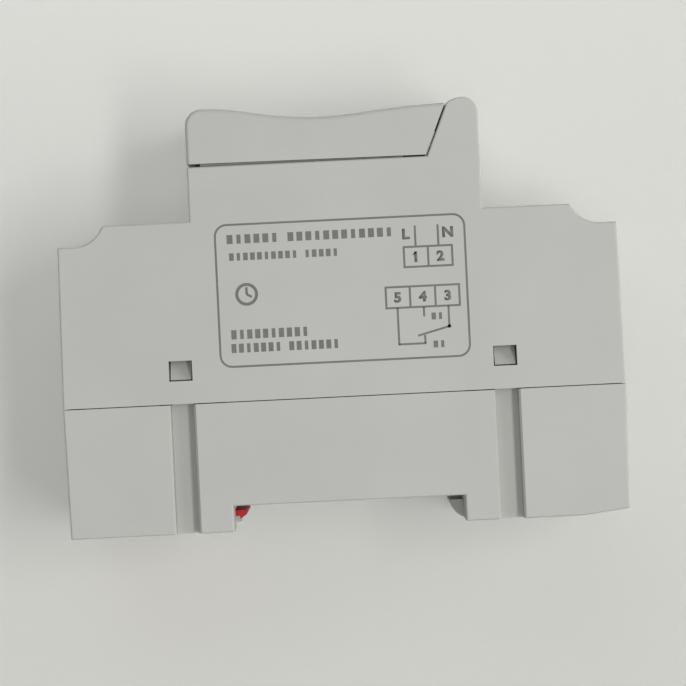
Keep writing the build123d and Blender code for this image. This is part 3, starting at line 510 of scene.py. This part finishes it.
def nothingSelected():
    if bpy.context.mode != "OBJECT":
        bpy.ops.object.mode_set(mode="OBJECT")
    bpy.ops.object.select_all(action="DESELECT")


def onlySelected(piece):
    nothingSelected()
    piece.select_set(True)
    bpy.context.view_layer.objects.active = piece


def putInMesh(piece):
    onlySelected(piece)
    bpy.ops.object.transform_apply(location=True, rotation=True, scale=True)


def choose(piece, kind, wanted):
    # selects the vertices, edges or faces that wanted() accepts, and stays in edit mode
    onlySelected(piece)
    bpy.ops.object.mode_set(mode="EDIT")
    bpy.ops.mesh.select_mode(type=kind)
    bpy.ops.mesh.select_all(action="DESELECT")
    bpy.ops.object.mode_set(mode="OBJECT")
    parts = {"VERT": piece.data.vertices, "EDGE": piece.data.edges, "FACE": piece.data.polygons}[kind]
    for part in parts:
        part.select = wanted(part)
    bpy.ops.object.mode_set(mode="EDIT")


def modelled():
    bpy.ops.object.mode_set(mode="OBJECT")


def flatPlate(x, y):
    nothingSelected()
    middle = ((x[0] + x[1]) / 2, (y[0] + y[1]) / 2, 0)
    bpy.ops.mesh.primitive_plane_add(size=1, location=middle)
    plate = bpy.context.object
    plate.scale = (abs(x[1] - x[0]), abs(y[1] - y[0]), 1)
    putInMesh(plate)
    return plate


def roundedPlate(x, y, corner):
    plate = flatPlate(x, y)
    choose(plate, "VERT", lambda vertex: True)
    bpy.ops.mesh.bevel(offset=corner, offset_type="OFFSET", segments=6, affect="VERTICES")
    modelled()
    return plate


def outline(x, y, line, corner=0.0):
    # a rectangle's line, its outer edge at x and y
    plate = roundedPlate(x, y, corner) if corner else flatPlate(x, y)
    choose(plate, "FACE", lambda face: True)
    bpy.ops.mesh.inset(thickness=line, depth=0)
    bpy.ops.mesh.delete(type="FACE")
    modelled()
    return plate


def ringLine(middle, radius, line, corners=32):
    nothingSelected()
    bpy.ops.mesh.primitive_circle_add(
        vertices=corners, radius=radius, fill_type="NGON", location=(*middle, 0)
    )
    ring = bpy.context.object
    putInMesh(ring)
    choose(ring, "FACE", lambda face: True)
    bpy.ops.mesh.inset(thickness=line, depth=0)
    bpy.ops.mesh.delete(type="FACE")
    modelled()
    return ring


def disc(middle, radius, corners=24):
    nothingSelected()
    bpy.ops.mesh.primitive_circle_add(
        vertices=corners, radius=radius, fill_type="NGON", location=(*middle, 0)
    )
    dot = bpy.context.object
    putInMesh(dot)
    choose(dot, "FACE", lambda face: True)
    bpy.ops.mesh.inset(thickness=radius * 0.5, depth=0)
    modelled()
    return dot


def stroke(start, end, line):
    # a straight line of ink from start to end
    nothingSelected()
    start, end = Vector(start), Vector(end)
    run = end - start
    bpy.ops.mesh.primitive_plane_add(size=1, location=(*((start + end) / 2), 0))
    bar = bpy.context.object
    bar.scale = (run.length, line, 1)
    bar.rotation_euler = (0, 0, math.atan2(run.y, run.x))
    putInMesh(bar)
    return bar


def figure(text, middle, height, heavy=0.0, wide=1.0):
    # a digit or a wire letter, its capital height as given
    nothingSelected()
    bpy.ops.object.text_add(location=(0, 0, 0))
    letter = bpy.context.object
    letter.data.body = text
    letter.data.align_x = "CENTER"
    letter.data.align_y = "CENTER"
    letter.data.resolution_u = 4
    letter.data.offset = heavy
    bpy.ops.object.convert(target="MESH")
    letter = bpy.context.object
    size = letter.dimensions.y
    low = min(vertex.co.y for vertex in letter.data.vertices)
    left = min(vertex.co.x for vertex in letter.data.vertices)
    centre = Vector((left + letter.dimensions.x / 2, low + size / 2, 0))
    scale = height / size
    sized = Matrix.Diagonal((scale * wide, scale, scale, 1))
    there = Matrix.Translation((*middle, 0))
    letter.data.transform(there @ sized @ Matrix.Translation(-centre))
    letter.data.update()
    choose(letter, "VERT", lambda vertex: True)
    bpy.ops.mesh.remove_doubles(threshold=0.002 * mm)
    modelled()
    return letter


def joined(parts, name):
    nothingSelected()
    for part in parts:
        part.select_set(True)
    bpy.context.view_layer.objects.active = parts[0]
    bpy.ops.object.join()
    whole = bpy.context.object
    whole.name = name
    whole.data.name = name
    return whole


def printed(parts, name, place, thick, ink):
    # flat parts become one thin film of ink, put in its place by a matrix
    film = joined(parts, name)
    choose(film, "FACE", lambda face: True)
    bpy.ops.mesh.normals_make_consistent(inside=False)
    modelled()
    if film.data.polygons[0].normal.z < 0:
        film.data.flip_normals()
    solid = film.modifiers.new("thick", "SOLIDIFY")
    solid.thickness = thick
    solid.offset = 0
    onlySelected(film)
    bpy.ops.object.modifier_apply(modifier=solid.name)
    film.matrix_world = place
    putInMesh(film)
    film.data.materials.clear()
    film.data.materials.append(ink)
    return film


# print on the broad side

labelPrint = {
    "line": 0.31,
    "frame": ((-18.8, 19.74), (21.15, 43.2)), "corner": 1.9,
    "supplyBox": ((10.0, 17.7), (35.12, 38.5)), "supplyDivider": (13.85,),
    "contactBox": ((6.93, 18.5), (28.95, 32.45)), "contactDividers": (10.78, 14.65),
    "figures": (("1", 11.95, 36.8, 1.62), ("2", 15.72, 36.8, 1.62), ("5", 8.87, 30.7, 1.62),
                ("4", 12.72, 30.7, 1.62), ("3", 16.55, 30.7, 1.62),
                ("L", 10.6, 40.35, 1.65), ("N", 17.0, 40.4, 1.65)),
    "heavy": 0.05, "wide": 1.1, "pivot": ((16.6, 25.95), 0.30),
    "oneFlag": ((12.02, 37.52), (11.52, 37.10)), "flagLine": 0.24,
    "leads": (((12.0, 38.5), (12.0, 41.6)), ((15.5, 38.5), (15.5, 41.6)),
              ((8.78, 29.05), (8.78, 23.37)), ((8.78, 23.5), (12.93, 23.5)),
              ((12.8, 23.5), (12.8, 24.75)), ((12.8, 29.05), (12.8, 27.6)),
              ((16.58, 29.05), (16.58, 25.96)), ((16.76, 25.99), (11.73, 24.70))),
    # lines of text stand as rows of plain blocks: left, right, middle, height, letters in each word
    "textRows": ((-17.1, 8.7, 40.8, 1.38, (6, 12)), (-16.8, 0.2, 38.1, 1.15, (10, 5)),
                 (-17.05, -4.9, 26.2, 1.42, (10,)), (-17.1, -0.3, 24.1, 1.38, (7, 7)),
                 (13.75, 15.8, 27.6, 1.05, (2,)), (13.85, 15.95, 23.3, 1.05, (2,))),
    "clock": (-14.2, 32.3), "clockRadius": 1.75,
    "clockHands": ((0, 0.62), (0.45, -0.25)),       # ends of the hands, as shares of the radius
    "raised": 0.02,
}


def textRow(left, right, middle, height, words):
    slots = sum(words) + 0.8 * (len(words) - 1)
    pitch = (right - left) / slots
    blocks, at = [], left
    for letters in words:
        for place in range(letters):
            narrow = 0.46 if (place * 3 + letters) % 4 == 1 else 0.66
            start = at + pitch * (1 - narrow) / 2
            blocks.append(flatPlate(
                (start * mm, (start + pitch * narrow) * mm),
                ((middle - height / 2) * mm, (middle + height / 2) * mm),
            ))
            at += pitch
        at += pitch * 0.8
    return blocks


def makeLabel(look):
    line = look["line"] * mm
    parts = []

    def box(limits, corner=0.0):
        x, y = limits
        return outline((x[0] * mm, x[1] * mm), (y[0] * mm, y[1] * mm), line, corner * mm)

    parts.append(box(look["frame"], look["corner"]))
    for limits, dividers in ((look["supplyBox"], look["supplyDivider"]),
                             (look["contactBox"], look["contactDividers"])):
        parts.append(box(limits))
        low, high = limits[1][0] * mm + line, limits[1][1] * mm - line
        for x in dividers:
            parts.append(stroke((x * mm, low), (x * mm, high), line))
    for start, end in look["leads"]:
        parts.append(stroke([v * mm for v in start], [v * mm for v in end], line))
    for text, x, y, height in look["figures"]:
        parts.append(figure(text, (x * mm, y * mm), height * mm, look["heavy"], look["wide"]))
    parts.append(stroke(*([v * mm for v in end] for end in look["oneFlag"]), look["flagLine"] * mm))
    pivot, dotSize = look["pivot"]
    parts.append(disc([v * mm for v in pivot], dotSize * mm))
    for row in look["textRows"]:
        parts.extend(textRow(*row))
    x, y = (v * mm for v in look["clock"])
    radius = look["clockRadius"] * mm
    parts.append(ringLine((x, y), radius, line * 1.5))
    for handX, handY in look["clockHands"]:
        parts.append(stroke((x, y), (x + radius * handX, y + radius * handY), line * 1.2))
    place = Matrix.Translation((0, 0, printedSide))
    label = printed(parts, "label_print", place, look["raised"] * 2 * mm, labelInk)
    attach(label, "housing")


makeLabel(labelPrint)
print("label printed")


# spring behind the rail clip, wound once at the clip_spring part's length; it is not shortened as the
# clip slides out

clipSpring = {
    "wire": 0.35, "turns": 8, "corners": 12, "steps": 30,
    "pushed": 0.72,                          # share of its length when the clip is right out
}


def makeSpring(look):
    low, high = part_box("clip_spring")
    wire, turns = look["wire"] * mm, look["turns"]
    middle = (low + high) / 2
    nothingSelected()
    bpy.ops.mesh.primitive_circle_add(
        vertices=look["corners"], radius=wire / 2, fill_type="NOTHING",
        location=(0, (high.z - low.z - wire) / 2, 0),
    )
    coil = bpy.context.object
    coil.name = "clip_spring_coil"
    coil.data.name = coil.name
    putInMesh(coil)
    coil.location = (low.x + wire / 2, middle.y, middle.z)
    wind = coil.modifiers.new("wind", "SCREW")
    wind.axis = "X"
    wind.screw_offset = (high.x - low.x - wire) / turns
    wind.iterations = turns
    wind.steps = wind.render_steps = look["steps"]
    onlySelected(coil)
    bpy.ops.object.modifier_apply(modifier=wind.name)
    putInMesh(coil)
    choose(coil, "VERT", lambda vertex: True)
    bpy.ops.mesh.remove_doubles(threshold=0.001 * mm)
    bpy.ops.mesh.fill_holes(sides=0)
    bpy.ops.mesh.normals_make_consistent(inside=False)
    modelled()
    onlySelected(coil)
    bpy.ops.object.shade_smooth_by_angle(angle=math.radians(40))
    coil.data.materials.clear()
    coil.data.materials.append(finishes["spring_steel"])
    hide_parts("clip_spring")
    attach(coil, "housing")
    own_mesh(coil)


makeSpring(clipSpring)
print("clip spring wound")


# print on the front: display segments, key symbols and terminal numbers

# the front is read with x upward and z to the right
facingFront = Matrix(((0, 1, 0, 0), (0, 0, 1, 0), (1, 0, 0, 0), (0, 0, 0, 1)))

displayArt = {
    "digits": "1230", "digitHeight": 6.3, "digitWidth": 3.3, "segment": 0.62,
    "digitPitch": 4.35, "colonGap": 1.5, "lean": 0.06,
    "digitRow": 1.0,                # middle of the digits, above the display's middle
    "dayRow": 4.3, "dayWidth": 1.7, "dayHeight": 0.42, "dayPitch": 2.45, "dayOn": 3,
    "colonRise": 1.1, "colonHalf": 0.3, "dayLine": 0.13,
    "markRow": -4.1, "markPlaces": (-6.6, -3.3, 0, 3.3), "markRadius": 0.48, "markLine": 0.14,
    "lastMark": (6.6, 0.42),        # a filled mark: its place and radius
    "raised": 0.015,
}

segmentsLit = {
    "0": "abcdef", "1": "bc", "2": "abged", "3": "abgcd", "4": "fgbc", "5": "afgcd",
    "6": "afgedc", "7": "abc", "8": "abcdefg", "9": "abcdfg",
}


def segmentBar(start, end, line):
    # a bar with pointed ends, as on a display
    bar = stroke(start, end, line)
    run = (Vector(end) - Vector(start)).normalized()
    reach = (Vector(end) - Vector(start)).length / 2
    middle = (Vector(start) + Vector(end)) / 2
    choose(bar, "EDGE", lambda edge: True)
    bpy.ops.mesh.subdivide(number_cuts=1)
    modelled()
    for vertex in bar.data.vertices:
        off = Vector(vertex.co[:2]) - middle
        if abs(off.dot(run)) > reach * 0.98 and (off - run * off.dot(run)).length > line * 0.3:
            vertex.co -= Vector((*run, 0)) * math.copysign(line * 0.45, off.dot(run))
    return bar


def displayDigit(text, x, y, look):
    wide, high, line = look["digitWidth"] * mm, look["digitHeight"] * mm, look["segment"] * mm
    gap = line * 0.55
    left, right, low, top = x - wide / 2, x + wide / 2, y - high / 2, y + high / 2
    lines = {
        "a": ((left + gap, top), (right - gap, top)),
        "b": ((right, top - gap), (right, y + gap)),
        "c": ((right, y - gap), (right, low + gap)),
        "d": ((left + gap, low), (right - gap, low)),
        "e": ((left, y - gap), (left, low + gap)),
        "f": ((left, top - gap), (left, y + gap)),
        "g": ((left + gap, y), (right - gap, y)),
    }
    return [segmentBar(*lines[key], line) for key in segmentsLit[text]]


def makeDisplayArt(look):
    low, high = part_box("lcd_cell")
    middleX = (low.x + high.x) / 2
    parts = []
    pitch = look["digitPitch"] * mm
    colon = look["colonGap"] * mm
    row = look["digitRow"] * mm
    total = 3 * pitch + colon
    for place, text in enumerate(look["digits"]):
        x = -total / 2 + place * pitch + (colon if place > 1 else 0)
        parts.extend(displayDigit(text, x, row, look))
    rise, dot = look["colonRise"] * mm, look["colonHalf"] * mm
    for y in (row - rise, row + rise):
        parts.append(flatPlate((-dot, dot), (y - dot, y + dot)))
    half, tall = look["dayWidth"] * mm / 2, look["dayHeight"] * mm
    y = look["dayRow"] * mm
    for place in range(7):
        x = (place - 3) * look["dayPitch"] * mm
        parts.append(outline((x - half, x + half), (y - tall, y + tall), look["dayLine"] * mm))
        if place == look["dayOn"]:
            parts.append(flatPlate((x - half * 0.7, x + half * 0.7), (y - tall * 0.5, y + tall * 0.5)))
    y = look["markRow"] * mm
    for x in look["markPlaces"]:
        parts.append(ringLine((x * mm, y), look["markRadius"] * mm, look["markLine"] * mm, 20))
    lastX, lastRadius = look["lastMark"]
    parts.append(disc((lastX * mm, y), lastRadius * mm, 20))
    for part in parts:
        for vertex in part.data.vertices:
            vertex.co.x += vertex.co.y * look["lean"]
    place = Matrix.Translation((middleX, high.y + look["raised"] * mm, 0)) @ facingFront
    art = printed(parts, "display_segments", place, look["raised"] * 2 * mm, segmentInk)
    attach(art, "housing")


keySymbols = {
    "line": 0.16, "size": 0.465, "handSize": 0.4125,
    "below": 0.3,                   # symbol's middle, below the key's lower edge
    "panelFace": 0.35,              # panel face, in front of the reset key
    "raised": 0.015,
    "kinds": {
        "key_program": "list", "key_day": "day", "key_hour": "hour", "key_minute": "minute",
        "key_manual": "hand", "key_clock": "clock", "key_reset": "dot",
    },
}

terminalMarks = {
    "height": 1.9, "inset": 5.6,    # inset is from the screw towards the middle
    "shoulder": 43.8, "raised": 0.015, "heavy": 0.012,
}


def symbolParts(kind, x, y, size, line):

    def run(start, end, thick=line):
        # start and end are shares of the symbol's size, from its middle
        ends = [(x + size * across, y + size * up) for across, up in (start, end)]
        return stroke(*ends, thick)

    def ring():
        return ringLine((x, y), size, line, 24)

    if kind == "clock":
        return [ring(), run((0, 0), (0, 0.6)), run((0, 0), (0.5, 0))]
    if kind == "list":
        return [run((-1, step), (1, step)) for step in (-0.8, 0, 0.8)]
    if kind == "day":
        frameLine = outline((x - size, x + size), (y - size * 0.8, y + size * 0.8), line)
        return [frameLine, run((-1, 0.35), (1, 0.35))]
    if kind == "hour":
        return [ring(), run((0, 0), (0, 0.7))]
    if kind == "minute":
        return [ring(), run((0, 0), (0.55, 0.45), line * 0.8)]
    if kind == "hand":
        contacts = [disc((x + size * end, y), line * 1.3) for end in (-2, 2)]
        return [run((-2, 0), (-0.4, 0)), run((0.4, 0.7), (2, 0)), *contacts]
    return [disc((x, y), size * 0.45)]


def makePanelPrint(look):
    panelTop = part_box("key_reset")[1].y + look["panelFace"] * mm
    parts = []
    for node, kind in look["kinds"].items():
        low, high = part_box(node)
        across, upward = (low.z + high.z) / 2, low.x - look["below"] * mm
        size = look["handSize" if kind == "hand" else "size"] * mm
        parts.extend(symbolParts(kind, across, upward, size, look["line"] * mm))
    place = Matrix.Translation((0, panelTop, 0)) @ facingFront
    art = printed(parts, "panel_symbols", place, look["raised"] * 2 * mm, panelInk)
    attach(art, "housing")


def makeTerminalNumbers(look):
    parts = []
    for number in range(1, 6):
        low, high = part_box(f"terminal_screw_{number}")
        across, upward = (low.z + high.z) / 2, (low.x + high.x) / 2
        place = (across, upward - math.copysign(look["inset"] * mm, upward))
        parts.append(figure(str(number), place, look["height"] * mm, look["heavy"]))
    place = Matrix.Translation((0, look["shoulder"] * mm, 0)) @ facingFront
    numbers = printed(parts, "terminal_numbers", place, look["raised"] * 2 * mm, labelInk)
    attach(numbers, "housing")


makeDisplayArt(displayArt)
makePanelPrint(keySymbols)
makeTerminalNumbers(terminalMarks)
print("front printed")


# table

def makeTableTop(look):
    nothingSelected()
    bpy.ops.mesh.primitive_plane_add(size=look["size"], location=(0, 0, restingSide))
    table = bpy.context.object
    table.name = "table"
    putInMesh(table)
    table.data.materials.append(makeTable(look))
    tableGroup.objects.link(table)


makeTableTop(tableLook)
nothingSelected()
